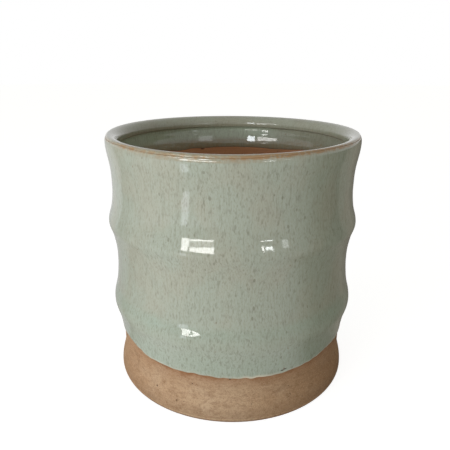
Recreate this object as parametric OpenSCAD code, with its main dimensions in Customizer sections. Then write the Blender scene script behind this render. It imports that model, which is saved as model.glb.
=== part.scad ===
// Glazed stoneware planter: a straight round pot with two raised rings, a rolled lip, a bare clay foot
// and a drain hole with a rubber stopper. The foot stands on Z = 0 and the pot's axis is Z.

/* [Pot] */
// Height of the clay, from the foot to the top of the lip
pot_height = 252.4; // [200:0.2:400]
// Diameter of the clay where the lip is widest
lip_diameter = 248.9; // [180:0.1:400]
// Diameter of the clay over the two raised rings
ring_diameter = 252.4; // [180:0.2:400]
// Diameter of the clay in the waist between the two rings
middle_waist_diameter = 240; // [170:0.2:380]
// Diameter of the clay in the waist between the upper ring and the lip
top_waist_diameter = 241.4; // [170:0.2:380]
// Diameter of the clay where the foot swells out
foot_diameter = 246.8; // [170:0.2:400]
// Diameter of the clay in the waist above the foot
foot_waist_diameter = 237.8; // [160:0.2:380]
// Height of the lower ring's crest
lower_ring_height = 83.5; // [60:0.5:110]
// Height of the upper ring's crest
upper_ring_height = 167.5; // [130:0.5:180]
// Place of the foot's waist, as a share of the way up from the foot to the lower ring
foot_waist_place = 0.3; // [0.2:0.01:0.8]
// Place of the middle waist, as a share of the way up from the lower ring to the upper ring
middle_waist_place = 0.52; // [0.2:0.01:0.8]
// Place of the top waist, as a share of the way up from the upper ring to the lip
top_waist_place = 0.44; // [0.2:0.01:0.8]
// Thickness of the wall
wall = 8.5; // [5:0.5:14]

/* [Rings] */
// Share of a ring's swell that is pinched to a crest, on its upper side
crest_share_above = 0.5; // [0:0.01:1]
// How pinched that crest is
crest_pinch_above = 4.7; // [1:0.1:20]
// How narrow the rest of the ring's upper side is: 1 is an even wave
flank_pinch_above = 0.9; // [0.6:0.05:4]
// Share of a ring's swell that is pinched to a crest, on its under side
crest_share_below = 0.34; // [0:0.01:1]
// How pinched that crest is
crest_pinch_below = 14; // [1:0.1:20]
// How narrow the rest of the ring's under side is: 1 is an even wave
flank_pinch_below = 1.6; // [0.6:0.05:4]

/* [Lip] */
// Height of the lip's rounded shoulder, from its widest place to its top
shoulder_height = 6; // [3:0.5:10]
// How far the lip's top lies inside its widest place
shoulder_width = 2.8; // [1:0.1:6]
// How far the rolled lip stands in over the inside of the wall
lip_roll = 3.8; // [1:0.1:8]
// Drop of the lip's inner curve, from its top to its narrowest place
roll_drop = 8.5; // [5:0.5:12]
// Height of the straight stretch at the lip's narrowest place, the mouth
mouth_land = 2; // [1:0.5:6]
// Height over which the wall goes back in under the roll
undercut_height = 2.5; // [1:0.5:8]

/* [Foot and floor] */
// Height at which the foot is widest
foot_height = 4; // [3:0.5:12]
// How far the foot's lower edge rounds in from its widest place
foot_rounding = 2.3; // [1:0.1:5]
// Width of the ring that the pot stands on
foot_ring_width = 13; // [8:0.5:25]
// Radius of the stand ring's inner edge
foot_ring_rounding = 2; // [0.5:0.5:2.5]
// Depth of the hollow under the floor
foot_recess = 5; // [3:0.5:10]
// Thickness of the floor
floor_thickness = 12; // [7:0.5:20]
// Radius of the inside corner between the wall and the floor
floor_corner = 14; // [4:1:24]

/* [Glaze] */
// Thickness of the glaze
glaze_coat = 0.6; // [0.4:0.1:2]
// Height of the glaze line above the foot
glaze_line = 47; // [30:0.5:75]
// Depth of the glaze inside, below the top of the lip
inner_glaze_depth = 36; // [28:1:60]
// Length over which the glaze rounds off at its edges
glaze_edge = 1.5; // [0.5:0.1:5]
// Angle, up the lip's shoulder, of the bare line between the outer and the inner glaze
bare_line_angle = 38; // [20:1:70]
// Angle that the bare line takes up on the shoulder
bare_line_spread = 12; // [4:1:20]

/* [Drain stopper] */
// Diameter of the drain hole
drain_diameter = 20; // [10:0.5:40]
// Gap between the stopper's ribs and the hole
stopper_clearance = 0.2; // [0.1:0.05:0.5]
// How far the stopper's head reaches over the floor round the hole
stopper_overhang = 7; // [3:0.5:15]
// Height of the stopper's domed head
stopper_head_height = 5.5; // [3:0.5:10]
// Thickness of the head at its edge
stopper_head_edge = 1.6; // [1:0.1:3]
// How far the stopper's nose shows under the floor
stopper_nose = 2; // [0.5:0.5:2.5]
// Number of sealing ribs on the stopper
stopper_ribs = 3; // [1:1:5]
// How far a sealing rib stands out of the stopper's stem
stopper_rib_height = 0.9; // [0.3:0.1:1.5]

/* [Hidden] */
$fn = 144;

// Steps of the outlines: the wall's points are this far apart on average, and closer at the crests;
// a point that would lie nearer than the clearance to a stretch's end is left out.
wall_step = 4.2;
crest_easing = 1.4;
end_clearance = 0.7;
arc_steps = 8;
edge_steps = 6;
edge_easing = 1.2;

// How a crest falls away: the share that is pinched, how pinched that share is, and the rest.
even_wave = [1, 1, 1];
foot_swell = [1, 0.8, 1];
lip_swell = [1, 2.1, 1];
ring_above = [crest_share_above, crest_pinch_above, flank_pinch_above];
ring_below = [crest_share_below, crest_pinch_below, flank_pinch_below];

lip_radius = lip_diameter / 2;
shoulder_z = pot_height - shoulder_height;
lip_top_radius = lip_radius - shoulder_width;
mouth_radius = lip_radius - wall - lip_roll;
roll_z = pot_height - roll_drop;
land_z = roll_z - mouth_land;
undercut_z = land_z - undercut_height;
inner_glaze_z = pot_height - inner_glaze_depth;
floor_z = foot_recess + floor_thickness;
foot_base_radius = foot_diameter / 2 - foot_rounding;
recess_radius = foot_base_radius - foot_ring_width;
drain_radius = drain_diameter / 2;
head_radius = drain_radius + stopper_overhang;
rib_radius = drain_radius - stopper_clearance;
stem_radius = rib_radius - stopper_rib_height;

// The places where the wall swells out: height, radius, and how it falls away above and below.
crests = [
    [foot_height, foot_diameter / 2, foot_swell, foot_swell],
    [lower_ring_height, ring_diameter / 2, ring_above, ring_below],
    [upper_ring_height, ring_diameter / 2, ring_above, ring_below],
    [shoulder_z, lip_radius, lip_swell, lip_swell]
];
// The waist between each two crests: its place on the way up, as a share, and its radius.
waists = [
    [foot_waist_place, foot_waist_diameter / 2],
    [middle_waist_place, middle_waist_diameter / 2],
    [top_waist_place, top_waist_diameter / 2]
];

// 1 at a crest, where t is 0, and 0 at the waist, where t is 1.
function swell(t, form) =
    let (wave = (1 + cos(180 * t)) / 2)
    form[0] * pow(wave, form[1]) + (1 - form[0]) * pow(wave, form[2]);

// Height of the waist between two crests.
function waist_height(low, high, waist) = low[0] + (high[0] - low[0]) * waist[0];

// Radius of the wall's outside in the band between two crests.
function band_radius(z, low, high, waist) =
    let (waist_z = waist_height(low, high, waist))
    z < waist_z
        ? waist[1] + (low[1] - waist[1]) * swell((z - low[0]) / (waist_z - low[0]), low[2])
        : waist[1] + (high[1] - waist[1]) * swell((high[0] - z) / (high[0] - waist_z), high[3]);

// Radius of the clay's outside at a height above the foot's widest place.
function wall_radius(z) =
    let (band = z < crests[1][0] ? 0 : z < crests[2][0] ? 1 : 2)
    band_radius(z, crests[band], crests[band + 1], waists[band]);

// Radius of the clay's inside, which follows the outside and rounds in to the floor.
function inside_radius(z) =
    let (into_corner = max(0, floor_z + floor_corner - z))
    wall_radius(z) - wall - floor_corner + sqrt(max(0, pow(floor_corner, 2) - pow(into_corner, 2)));

// Evenly spaced values from one to another, both ends included.
function spaced(from, to, step) =
    let (count = max(1, ceil(abs(to - from) / step)))
    [for (i = [0:count]) from + (to - from) * i / count];

// Heights from a crest to the waist beside it, closer together at the crest.
function from_crest(crest_z, waist_z) =
    let (count = ceil(abs(waist_z - crest_z) / wall_step))
    [for (i = [0:count]) crest_z + (waist_z - crest_z) * pow(i / count, crest_easing)];

// Heights of the wall's points, from the foot's widest place to the lip's.
wall_points = concat(
    [for (band = [0:2])
        let (low = crests[band], high = crests[band + 1])
        let (waist_z = waist_height(low, high, waists[band]), down = from_crest(high[0], waist_z))
        each concat(from_crest(low[0], waist_z), [for (i = [len(down) - 2:-1:1]) down[i]])],
    [shoulder_z]
);

// The heights of the wall's points that lie between two others.
function wall_heights(from, to) =
    [for (z = wall_points) if (z > from + end_clearance && z < to - end_clearance) z];

// The same heights from the top down.
function wall_heights_down(from, to) =
    let (up = wall_heights(to, from))
    [for (i = [len(up) - 1:-1:0]) up[i]];

// Share of the full coat at a distance from the glaze's edge, where it rounds off.
function coat_share(distance) =
    let (t = min(1, max(0, distance) / glaze_edge))
    sqrt(1 - pow(1 - t, 2));

// Heights of the points over a glaze edge, closer together at the edge itself.
function edge_heights(edge_z) =
    [for (i = [0:edge_steps]) edge_z + glaze_edge * pow(i / edge_steps, edge_easing)];

// An arc of an ellipse, from one angle to another, both ends included.
function arc(centre, across, up, from, to, steps = arc_steps) =
    [for (i = [0:steps])
        let (a = from + (to - from) * i / steps)
        [centre[0] + across * cos(a), centre[1] + up * sin(a)]];

// Points on the lip's shoulder, between two angles, with a coat whose edge lies at one of them.
function shoulder(from, to, coat, edge_angle) =
    [for (i = [0:edge_steps])
        let (a = from + (to - from) * i / edge_steps)
        let (distance = abs(a - edge_angle) * PI / 180 * shoulder_height)
        let (grown = coat * coat_share(distance))
        [
            lip_top_radius + (shoulder_width + grown) * cos(a),
            shoulder_z + (shoulder_height + grown) * sin(a)
        ]];

outer_edge_angle = bare_line_angle - bare_line_spread / 2;
inner_edge_angle = bare_line_angle + bare_line_spread / 2;

// The foot, from the hollow under the floor round to the glaze line.
function foot_outline() = concat(
    [[recess_radius, foot_recess]],
    arc([recess_radius + foot_ring_rounding, foot_ring_rounding], foot_ring_rounding, foot_ring_rounding,
        180, 270, edge_steps),
    arc([foot_base_radius, foot_height], foot_rounding, foot_height, -90, 0),
    [for (z = wall_heights(foot_height, glaze_line)) [wall_radius(z), z]]
);

// The outside under the outer glaze, grown by the coat, from the glaze line to the bare line on the shoulder.
function outer_outline(coat) = concat(
    [for (z = edge_heights(glaze_line)) [wall_radius(z) + coat * coat_share(z - glaze_line), z]],
    [for (z = wall_heights(glaze_line + glaze_edge, shoulder_z)) [wall_radius(z) + coat, z]],
    shoulder(0, outer_edge_angle, coat, outer_edge_angle)
);

// The lip and the inside under the inner glaze, grown by the coat, from the bare line to the glaze's edge.
function inner_outline(coat) =
    let (roll_width = lip_top_radius - mouth_radius + coat)
    let (roll = arc([lip_top_radius, roll_z], roll_width, roll_drop + coat, 90, 180))
    concat(
        shoulder(inner_edge_angle, 90, coat, inner_edge_angle),
        [for (i = [1:arc_steps]) roll[i]],
        [for (z = spaced(land_z, undercut_z, undercut_height / edge_steps))
            let (back = 1 - swell((land_z - z) / undercut_height, even_wave))
            [mouth_radius + (inside_radius(z) - mouth_radius) * back - coat, z]],
        [for (z = wall_heights_down(undercut_z, inner_glaze_z + glaze_edge)) [inside_radius(z) - coat, z]],
        [for (i = [edge_steps:-1:0])
            let (z = edge_heights(inner_glaze_z)[i])
            [inside_radius(z) - coat * coat_share(z - inner_glaze_z), z]]
    );

// The bare inside, from the inner glaze's edge down to the floor and the drain hole.
function bare_inside_outline() = concat(
    [for (z = wall_heights_down(inner_glaze_z, floor_z + floor_corner)) [inside_radius(z), z]],
    [for (i = [0:arc_steps])
        let (z = floor_z + floor_corner * (1 - sin(90 * i / arc_steps)))
        [inside_radius(z), z]],
    [[drain_radius, floor_z], [drain_radius, foot_recess]]
);

// A coat of glaze between an outline of the clay and the same outline grown by the coat.
module coat(clay, grown) {
    last = len(clay) - 1;
    rotate_extrude()
        polygon(concat(grown, [for (i = [last - 1:-1:1]) clay[i]]));
}

module clay_body() {
    color("#a2866a")
        rotate_extrude()
            polygon(concat(foot_outline(), outer_outline(0), inner_outline(0), bare_inside_outline()));
}

module outer_glaze() {
    color("#9fa696")
        coat(outer_outline(0), outer_outline(glaze_coat));
}

module inner_glaze() {
    color("#8d9584")
        coat(inner_outline(0), inner_outline(glaze_coat));
}

// Half of the stem's outline: the nose, and ribs that bulge out one above the other.
function stem_outline() =
    let (nose_z = foot_recess - stopper_nose)
    let (ribs_z = foot_recess + stopper_nose)
    let (pitch = (floor_z - ribs_z) / stopper_ribs)
    concat(
        [[0, nose_z], [stem_radius - stopper_nose, nose_z], [stem_radius, nose_z + stopper_nose]],
        [for (rib = [0:stopper_ribs - 1])
            let (centre = [stem_radius, ribs_z + pitch * (rib + 0.5)])
            each arc(centre, stopper_rib_height, pitch / 3, -90, 90, edge_steps)],
        [[stem_radius, floor_z]]
    );

module drain_stopper() {
    dome = arc([0, floor_z + stopper_head_edge], head_radius, stopper_head_height - stopper_head_edge, 0, 90);
    color("#2b2a28")
        rotate_extrude()
            polygon(concat(stem_outline(), [[head_radius, floor_z]], dome));
}

clay_body();
outer_glaze();
inner_glaze();
drain_stopper();
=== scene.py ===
"""The looks of a glazed stoneware planter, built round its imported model.

Everything is in metres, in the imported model's frame: the pot's axis is Z and its foot stands on Z = 0.
The pot is turned from one outline. Its clay, the glaze outside, the glaze inside and the rubber stopper are
four pieces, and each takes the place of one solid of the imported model. Angles round the pot are in radians,
anticlockwise from +X seen from above, and the camera stands at -Y. A bearing is in degrees round from the
camera's side of the pot, and grows to the right.
"""
import logging
import math
from dataclasses import dataclass
from enum import Enum

import bpy
import numpy as np
from mathutils import Matrix, Vector


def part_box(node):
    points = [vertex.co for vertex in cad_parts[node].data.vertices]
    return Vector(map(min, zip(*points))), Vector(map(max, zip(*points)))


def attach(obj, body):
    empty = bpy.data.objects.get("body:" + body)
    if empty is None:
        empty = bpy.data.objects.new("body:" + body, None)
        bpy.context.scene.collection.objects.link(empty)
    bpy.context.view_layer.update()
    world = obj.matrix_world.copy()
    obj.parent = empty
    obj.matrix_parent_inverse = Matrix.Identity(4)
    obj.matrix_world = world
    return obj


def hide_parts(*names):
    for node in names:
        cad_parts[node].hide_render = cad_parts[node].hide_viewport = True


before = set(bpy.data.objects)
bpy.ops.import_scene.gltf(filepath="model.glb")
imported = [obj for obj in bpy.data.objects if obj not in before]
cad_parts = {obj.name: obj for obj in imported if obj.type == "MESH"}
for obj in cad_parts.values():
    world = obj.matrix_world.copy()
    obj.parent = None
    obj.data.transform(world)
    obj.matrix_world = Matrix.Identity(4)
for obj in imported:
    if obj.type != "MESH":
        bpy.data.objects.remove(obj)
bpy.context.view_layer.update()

log = logging.getLogger("planter")

Colour = tuple[float, float, float]
Socket = bpy.types.NodeSocket
Inputs = dict[str | int, Socket | float | Colour]
Array = np.ndarray
Values = Array | float
Points = tuple[Array, Array]

FRONT = -math.pi / 2
SHARP_EDGE = math.radians(55)


def srgb(red: int, green: int, blue: int) -> Colour:
    """Turns a colour as it looks on a screen into the linear colour that a shader takes.

    Args:
        red: Red, from 0 to 255.
        green: Green, from 0 to 255.
        blue: Blue, from 0 to 255.

    Returns:
        The linear red, green and blue, from 0 to 1.
    """
    def linear(value: int) -> float:
        """One channel, from 0 to 255, as linear light."""
        share = value / 255
        return share / 12.92 if share <= 0.04045 else ((share + 0.055) / 1.055) ** 2.4

    return linear(red), linear(green), linear(blue)


def rise(value: Array, low: float, high: float) -> Array:
    """A smooth step: 0 where the value is below low and 1 where it is above high."""
    t = np.clip((value - low) / (high - low), 0, 1)
    return t * t * (3 - 2 * t)


def rounded(distance: Array, reach: float) -> Array:
    """How far a rounded edge has risen: 0 at the edge and 1 from reach on."""
    return np.sqrt(1 - (1 - np.clip(distance / reach, 0, 1)) ** 2)


def quarters(start: float, end: float, count: int) -> Array:
    """Evenly spaced angles, from one number of quarter turns to another."""
    return np.linspace(start, end, count) * math.pi / 2


def oval(radius: float, height: float, out: Values, up: Values, turn: Array) -> Points:
    """Radii and heights of points on an oval round a centre, that reaches so far out and so far up."""
    return radius + out * np.cos(turn), height + up * np.sin(turn)


@dataclass(frozen=True)
class Unevenness:
    """A smooth hand-made unevenness round the pot, the same on every run."""

    size: float
    seed: int
    rounds: tuple[int, int]
    pitch: float = 0.08
    waves: int = 14

    def at(self, angle: Array, height: Values = 0.0) -> Array:
        """How far the surface is out of true.

        Args:
            angle: Angle round the pot.
            height: Height above the foot.

        Returns:
            The distance out of true, about as large as size.
        """
        draw = np.random.default_rng(self.seed)
        total = 0.0
        for _ in range(self.waves):
            turns = int(draw.integers(self.rounds[0], self.rounds[1] + 1))
            climb = draw.uniform(-1, 1) * math.tau / self.pitch
            phase = draw.uniform(0, math.tau)
            total = total + np.cos(turns * angle + climb * height + phase)
        return self.size * total * math.sqrt(2 / self.waves)


@dataclass(frozen=True)
class Drip:
    """A bearing at which something is higher or stronger than beside it, over a width in degrees."""

    bearing: float
    width: float
    lift: float

    def at(self, angle: Array) -> Array:
        """How much is added at each angle round the pot."""
        away = (angle - FRONT - math.radians(self.bearing) + math.pi) % math.tau - math.pi
        return self.lift * np.exp(-(away / math.radians(self.width)) ** 2)


def summed(drips: tuple[Drip, ...], angle: Array) -> Array:
    """What several drips add together at each angle round the pot."""
    return sum(drip.at(angle) for drip in drips)


@dataclass(frozen=True)
class FingerMark:
    """A shallow groove over a faint ridge, which a finger left along part of the wall."""

    depth: Drip
    height: float
    width: float

    def at(self, angle: Values, height: Array) -> Array:
        """How far the wall stands out, less than 0 in the groove."""
        up = (height - self.height) / self.width
        return -self.depth.at(angle) * up * np.exp(-up ** 2 / 2)


@dataclass(frozen=True)
class Throwing:
    """What the potter's hand left: a wall a little out of true and a lip that isn't quite level.

    The wall is free to stray outside the first radius and above the first height, fully so past the second.
    """

    wall: Unevenness = Unevenness(size=0.00014, seed=11, rounds=(1, 6), pitch=0.11)
    free_radius: tuple[float, float] = (0.06, 0.10)
    free_height: tuple[float, float] = (0.0, 0.006)
    lip_sway: float = 0.00055
    lip_lean: float = math.radians(10)
    sway_height: tuple[float, float] = (0.20, 0.25)
    marks: tuple[FingerMark, ...] = (
        FingerMark(Drip(-18.5, 7.5, 0.0010), 0.0935, 0.0055),
        FingerMark(Drip(2, 24, 0.00004), 0.1800, 0.0012),
        FingerMark(Drip(2, 24, -0.00015), 0.1752, 0.0034),
        FingerMark(Drip(2, 24, 0.00010), 0.1702, 0.0022),
    )

    def radius(self, angle: Array, radius: Array, height: Array) -> Array:
        """Puts the radii of the true wall out of true."""
        stray = self.wall.at(angle, height) + sum(mark.at(angle, height) for mark in self.marks)
        return radius + rise(radius, *self.free_radius) * rise(height, *self.free_height) * stray

    def height(self, angle: Array, height: Array) -> Array:
        """Lets the heights near the lip dip and rise."""
        turn = angle - FRONT + self.lip_lean
        return height - self.lip_sway * (np.cos(turn) + np.cos(2 * turn)) * rise(height, *self.sway_height)


@dataclass(frozen=True)
class Flank:
    """How a swelling falls away from its crest, a share of it close by and the rest slowly."""

    share: float = 1.0
    pinch: float = 1.0
    spread: float = 1.0

    def at(self, t: Array) -> Array:
        """How far the swelling stands out: 1 at the crest, where t is 0, and 0 at the waist, where t is 1."""
        wave = (1 + np.cos(np.pi * np.clip(t, 0, 1))) / 2
        return self.share * wave ** self.pinch + (1 - self.share) * wave ** self.spread


@dataclass(frozen=True)
class Crest:
    """A widest place of the wall."""

    height: float
    radius: float
    above: Flank
    below: Flank


@dataclass(frozen=True)
class Waist:
    """A narrowest place of the wall, at a share of the way from the crest below to the one above."""

    place: float
    radius: float


RING_ABOVE = Flank(share=0.5, pinch=4.7, spread=0.9)
RING_BELOW = Flank(share=0.34, pinch=14, spread=1.6)
FOOT_FLANK = Flank(pinch=0.8)
LIP_FLANK = Flank(pinch=2.1)
EVEN = Flank()


@dataclass(frozen=True)
class PotShape:
    """The pot's outline in fired clay, before any glaze."""

    height: float
    coat: float
    foot: Crest = Crest(0.004, 0.1234, FOOT_FLANK, FOOT_FLANK)
    lower_ring: Crest = Crest(0.0835, 0.1262, RING_ABOVE, RING_BELOW)
    upper_ring: Crest = Crest(0.1675, 0.1262, RING_ABOVE, RING_BELOW)
    foot_waist: Waist = Waist(0.30, 0.1189)
    middle_waist: Waist = Waist(0.52, 0.1200)
    top_waist: Waist = Waist(0.44, 0.1207)
    lip_radius: float = 0.12445
    wall: float = 0.0085
    shoulder_height: float = 0.006
    shoulder_width: float = 0.0028
    lip_roll: float = 0.0038
    roll_drop: float = 0.0085
    mouth_land: float = 0.002
    undercut_height: float = 0.0025
    foot_rounding: float = 0.0023
    foot_ring_width: float = 0.013
    foot_recess: float = 0.005
    floor_thickness: float = 0.012
    floor_corner: float = 0.014
    drain_radius: float = 0.010
    inner_marks: tuple[FingerMark, ...] = (
        FingerMark(Drip(0, 2000, -0.00040), 0.2262, 0.0045),
        FingerMark(Drip(0, 2000, -0.00010), 0.2345, 0.0012),
    )
    throwing: Throwing = Throwing()

    @property
    def shoulder_z(self) -> float:
        """Height at which the lip is widest."""
        return self.height - self.shoulder_height

    @property
    def lip_top_radius(self) -> float:
        """Radius of the lip's highest line."""
        return self.lip_radius - self.shoulder_width

    @property
    def mouth_radius(self) -> float:
        """Radius of the clay at the lip's narrowest place."""
        return self.lip_radius - self.wall - self.lip_roll

    @property
    def floor_z(self) -> float:
        """Height of the floor inside."""
        return self.foot_recess + self.floor_thickness

    @property
    def foot_base_radius(self) -> float:
        """Outer radius of the face that the pot stands on."""
        return self.foot.radius - self.foot_rounding

    def outside(self, z: Array) -> Array:
        """Radius of the clay's outside, from the foot's widest place to the lip's.

        Args:
            z: Height above the foot.

        Returns:
            The radius at each height.
        """
        lip = Crest(self.shoulder_z, self.lip_radius, LIP_FLANK, LIP_FLANK)
        crests = (self.foot, self.lower_ring, self.upper_ring, lip)
        z = np.asarray(z, float)
        radius = np.full(z.shape, self.foot.radius)
        for low, high, waist in zip(crests, crests[1:], (self.foot_waist, self.middle_waist, self.top_waist)):
            waist_z = low.height + (high.height - low.height) * waist.place
            up = low.above.at((z - low.height) / (waist_z - low.height))
            down = high.below.at((high.height - z) / (high.height - waist_z))
            under = waist.radius + (low.radius - waist.radius) * up
            over = waist.radius + (high.radius - waist.radius) * down
            inside_band = (z >= low.height) & (z <= high.height)
            radius = np.where(inside_band, np.where(z < waist_z, under, over), radius)
        return radius

    def inside(self, z: Array) -> Array:
        """Radius of the clay's inside, which follows the outside and rounds in to the floor.

        Args:
            z: Height above the foot.

        Returns:
            The radius at each height.
        """
        into_corner = np.clip(self.floor_z + self.floor_corner - z, 0, self.floor_corner)
        corner = self.floor_corner - np.sqrt(self.floor_corner ** 2 - into_corner ** 2)
        return self.outside(z) - self.wall - corner + sum(mark.at(FRONT, z) for mark in self.inner_marks)

    def shoulder(self, turn: Array, grown: Values = 0.0) -> Points:
        """Points on the lip's outer shoulder, from its widest place up, under a coat that has grown on it."""
        reach = (self.shoulder_width + grown, self.shoulder_height + grown)
        return oval(self.lip_top_radius, self.shoulder_z, *reach, turn)

    def roll(self, turn: Array, grown: Values = 0.0) -> Points:
        """Points on the lip's inner roll, from the lip's top down, under a coat that has grown on it."""
        reach = (self.lip_top_radius - self.mouth_radius + grown, self.roll_drop + grown)
        return oval(self.lip_top_radius, self.height - self.roll_drop, *reach, turn + math.pi / 2)

    def undercut(self, share: Array) -> Points:
        """Points on the step back under the lip's roll.

        Args:
            share: Place on the step, 0 at the roll and 1 at the wall.

        Returns:
            The radius and the height at each place.
        """
        z = self.height - self.roll_drop - self.mouth_land - self.undercut_height * share
        back = 1 - EVEN.at(share)
        return self.mouth_radius + (self.inside(z) - self.mouth_radius) * back, z


@dataclass(frozen=True)
class GlazeLine:
    """The uneven edge of a coat of glaze: its height, its sag at the sides, its ripple and its drips."""

    height: float
    sag: float
    ripple: Unevenness
    drips: tuple[Drip, ...] = ()

    def at(self, angle: Array) -> Array:
        """Height of the edge at each angle round the pot."""
        sag = self.sag * (1 - np.cos(2 * (angle - FRONT))) / 2
        return self.height + sag + self.ripple.at(angle) + summed(self.drips, angle)


@dataclass(frozen=True)
class BreakLine:
    """The line round the lip's shoulder where the two coats meet and the thin glaze breaks to tan.

    The height and the gap are degrees up the shoulder, and how much shows is from 0 to 1.
    """

    height: float = 40.0
    gap: float = 1.2
    lifts: tuple[Drip, ...] = (Drip(-50, 13, 11), Drip(16, 8, 6), Drip(38, 20, 20), Drip(75, 22, 10))
    showing: float = 0.30
    narrow_reach: float = 0.0005
    broad_reach: tuple[float, float] = (0.0020, 0.0060)
    shows: tuple[Drip, ...] = (
        Drip(-47, 9, 0.55), Drip(-72, 10, 0.25), Drip(14, 8, 0.35), Drip(38, 24, 1.10), Drip(82, 16, 0.45),
    )
    broad: Drip = Drip(-8, 34, 0.40)

    def at(self, angle: Array, side: int) -> Array:
        """How far up the shoulder, in radians, the coat below (side -1) or above the line (side 1) ends."""
        return np.radians(self.height + summed(self.lifts, angle)) + side * math.radians(self.gap) / 2

    def thin(self, angle: Array, away: Array) -> Array:
        """How thin the glaze is beside the line.

        Args:
            angle: Angle round the pot.
            away: Distance from the line.

        Returns:
            0 where it is full and 1 where it breaks to tan.
        """
        line = self.showing + summed(self.shows, angle)
        narrow = line * (1 - rise(away, self.narrow_reach, self.narrow_reach * (3 + 3 * line)))
        return narrow + self.broad.at(angle) * (1 - rise(away, *self.broad_reach))


def new_piece(name: str, points: Array, faces: Array) -> bpy.types.Object:
    """Makes a smooth object from points and faces.

    Args:
        name: Name of the object and its mesh.
        points: The points, one in a row.
        faces: The faces, one in a row, which all have as many corners.

    Returns:
        The new object, in the scene.
    """
    mesh = bpy.data.meshes.new(name)
    mesh.vertices.add(len(points))
    mesh.vertices.foreach_set("co", points.ravel())
    mesh.loops.add(faces.size)
    mesh.loops.foreach_set("vertex_index", faces.ravel().astype(np.int32))
    mesh.polygons.add(len(faces))
    mesh.polygons.foreach_set("loop_start", np.arange(0, faces.size, faces.shape[1], dtype=np.int32))
    mesh.polygons.foreach_set("use_smooth", np.ones(len(faces), bool))
    mesh.update(calc_edges=True)
    mesh.validate()
    piece = bpy.data.objects.new(name, mesh)
    bpy.context.scene.collection.objects.link(piece)
    return piece


class Section:
    """The outline of one turned piece, gathered a stretch at a time, with values painted on its points."""

    def __init__(self, angles: Array, layers: tuple[str, ...]) -> None:
        """Starts an empty outline.

        Args:
            angles: The angles that the outline is turned through, one for each copy of it.
            layers: Names of the values painted on each point.
        """
        self.angles = angles[:, None]
        self.radii: list[Array] = []
        self.heights: list[Array] = []
        self.paint: dict[str, list[Array]] = {name: [] for name in layers}

    def add(self, radius: Values, height: Values, **paint: Values) -> None:
        """Adds a stretch of points, each either the same all round or given for every angle.

        Args:
            radius: Radii, as one number, a row, or one row for each angle.
            height: Heights, in the same way.
            **paint: Values for the painted layers; a layer left out is 0.
        """
        shape = (len(self.angles), np.broadcast(radius, height).shape[-1])
        self.radii.append(np.broadcast_to(radius, shape))
        self.heights.append(np.broadcast_to(height, shape))
        for name, values in self.paint.items():
            values.append(np.broadcast_to(paint.get(name, 0.0), shape))

    def turn(self, name: str, throwing: Throwing | None = None, closed: bool = True) -> bpy.types.Object:
        """Turns the outline round Z into a smooth mesh.

        Args:
            name: Name of the piece.
            throwing: What puts the piece out of true, or None.
            closed: Whether the outline's last point joins its first.

        Returns:
            The new object, in the scene.
        """
        radius = np.concatenate(self.radii, axis=1)
        height = np.concatenate(self.heights, axis=1)
        angle = self.angles
        if throwing is not None:
            radius = throwing.radius(angle, radius, height)
            height = throwing.height(angle, height)
        turns, rows = radius.shape
        points = np.stack([radius * np.cos(angle), radius * np.sin(angle), height], axis=-1)
        i, j = np.meshgrid(np.arange(turns), np.arange(rows if closed else rows - 1), indexing="ij")
        i_next, j_next = (i + 1) % turns, (j + 1) % rows
        corners = (i * rows + j, i_next * rows + j, i_next * rows + j_next, i * rows + j_next)

        piece = new_piece(name, points.reshape(-1, 3), np.stack(corners, axis=-1).reshape(-1, 4))
        for layer, values in self.paint.items():
            painted = np.concatenate(values, axis=1).astype(np.float32)
            piece.data.attributes.new(layer, "FLOAT", "POINT").data.foreach_set("value", painted.ravel())
        piece.data.set_sharp_from_angle(angle=SHARP_EDGE)
        return piece


@dataclass(frozen=True)
class Noise:
    """A cloudy pattern: the size of its clouds across and up the pot, and how finer clouds lie over them."""

    across: float
    along: float
    detail: float = 2.0
    roughness: float = 0.5


@dataclass(frozen=True)
class Spots:
    """Scattered spots: their spacing across and up the pot, and the share of the places that hold one.

    Their radius and the width of their soft edge are shares of the spacing.
    """

    across: float
    along: float
    share: float
    size: float
    soft: float


@dataclass(frozen=True)
class Fault:
    """A small dark fault of the firing on the wall, such as an iron spot or a closed crack."""

    bearing: float
    level: float
    radius: float
    width: float
    height: float

    @property
    def place(self) -> tuple[float, float, float]:
        """Its middle."""
        turn = FRONT + math.radians(self.bearing)
        return self.radius * math.cos(turn), self.radius * math.sin(turn), self.level


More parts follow.
